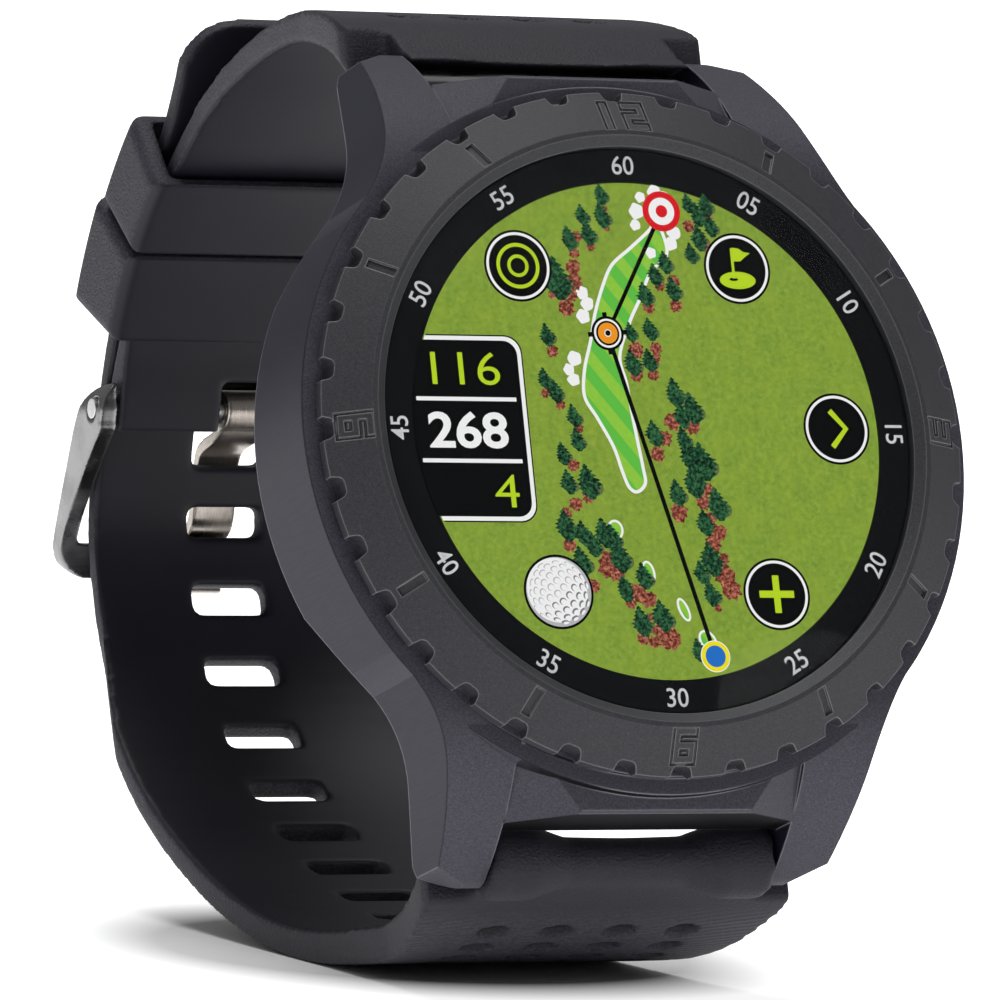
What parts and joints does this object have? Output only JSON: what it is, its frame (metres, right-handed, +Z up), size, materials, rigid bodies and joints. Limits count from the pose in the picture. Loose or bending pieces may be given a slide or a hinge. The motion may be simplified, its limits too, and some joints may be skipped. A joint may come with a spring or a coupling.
{
  "type": "golf gps watch",
  "caption": "Round sports watch with a scalloped bezel and a course-map display, on a buckled rubber strap that forms a closed loop.",
  "frame": {"origin": "middle of the watch's footprint box, on the surface it stands on", "axes": "+Z up, the face looks to -Y and tips up by 18 degrees, +X is the wearer's 3 o'clock side of the face"},
  "size_m": [0.0512, 0.085, 0.0674],
  "materials": {
    "case": "bead-blasted, dark anodised",
    "bezel": "matt dark anodised, speckled",
    "glass": "clear, polished",
    "minute_ring": "black print under glass",
    "display": "lit colour display",
    "seal": "moulded",
    "inner_plastic": "moulded",
    "circuit_board": "solder mask",
    "battery_foil": "foil pouch",
    "ceramic": "ceramic patch",
    "flex": "polyimide film",
    "back_plastic": "fine texture",
    "contact_gold": "plated",
    "button": "dark anodised",
    "strap": "grained outside, smooth inside",
    "buckle_steel": "brushed with polished edges",
    "steel": "plain"
  },
  "bodies": {
    "strap_loop": {"short_strap": "strap", "long_strap": "strap", "fixed_keeper": "strap", "buckle_bar": "buckle_steel"},
    "watch_head": {"case_body": "case", "bezel": "bezel", "cover_glass": "glass", "minute_ring": "minute_ring", "display_panel": "display", "glass_gasket": "seal", "chassis": "inner_plastic", "main_board": "circuit_board", "battery": "battery_foil", "gps_antenna": "ceramic", "vibration_motor": "steel", "display_flex": "flex", "case_back": "back_plastic", "back_gasket": "seal", "case_back_screws": "steel", "charging_contacts": "contact_gold", "button_seal": "seal", "button_spring": "steel", "tactile_switch": "inner_plastic", "top_bar_tube": "steel", "top_bar_spring": "steel", "bottom_bar_tube": "steel", "bottom_bar_spring": "steel"},
    "push_button": {"button_cap": "button", "button_stem": "steel", "button_clip": "steel"},
    "keeper": {"sliding_keeper": "strap"},
    "buckle": {"buckle_frame": "buckle_steel"},
    "tang": {"buckle_tang": "buckle_steel"},
    "top_pin_left": {"top_bar_pin_left": "steel"},
    "top_pin_right": {"top_bar_pin_right": "steel"},
    "bottom_pin_left": {"bottom_bar_pin_left": "steel"},
    "bottom_pin_right": {"bottom_bar_pin_right": "steel"}
  },
  "joints": [
    {"name": "head_hinge", "type": "hinge", "parent": "strap_loop", "child": "watch_head", "pos_m": [-0.00035, -0.03306, 0.00974], "axis": [1, 0, 0], "range_deg": [0, 35]},
    {"name": "button_press", "type": "slide", "parent": "watch_head", "child": "push_button", "axis": [-1, 0, 0], "range_m": [0, 0.0006], "stiffness_N_per_m": 2500},
    {"name": "keeper_slide", "type": "hinge", "parent": "strap_loop", "child": "keeper", "pos_m": [-0.00035, 0.00064, 0.03127], "axis": [1, 0, 0], "range_deg": [0, 3]},
    {"name": "buckle_swing", "type": "hinge", "parent": "strap_loop", "child": "buckle", "pos_m": [-0.00035, 0.03422, 0.03689], "axis": [-1, 0, 0], "range_deg": [0, 3]},
    {"name": "tang_lift", "type": "hinge", "parent": "strap_loop", "child": "tang", "pos_m": [-0.00035, 0.03422, 0.03689], "axis": [1, 0, 0], "range_deg": [0, 5]},
    {"name": "top_pin_left_slide", "type": "slide", "parent": "watch_head", "child": "top_pin_left", "axis": [1, 0, 0], "range_m": [0, 0.0014], "stiffness_N_per_m": 600},
    {"name": "top_pin_right_slide", "type": "slide", "parent": "watch_head", "child": "top_pin_right", "axis": [-1, 0, 0], "range_m": [0, 0.0014], "stiffness_N_per_m": 600},
    {"name": "bottom_pin_left_slide", "type": "slide", "parent": "watch_head", "child": "bottom_pin_left", "axis": [1, 0, 0], "range_m": [0, 0.0014], "stiffness_N_per_m": 600},
    {"name": "bottom_pin_right_slide", "type": "slide", "parent": "watch_head", "child": "bottom_pin_right", "axis": [-1, 0, 0], "range_m": [0, 0.0014], "stiffness_N_per_m": 600}
  ]
}
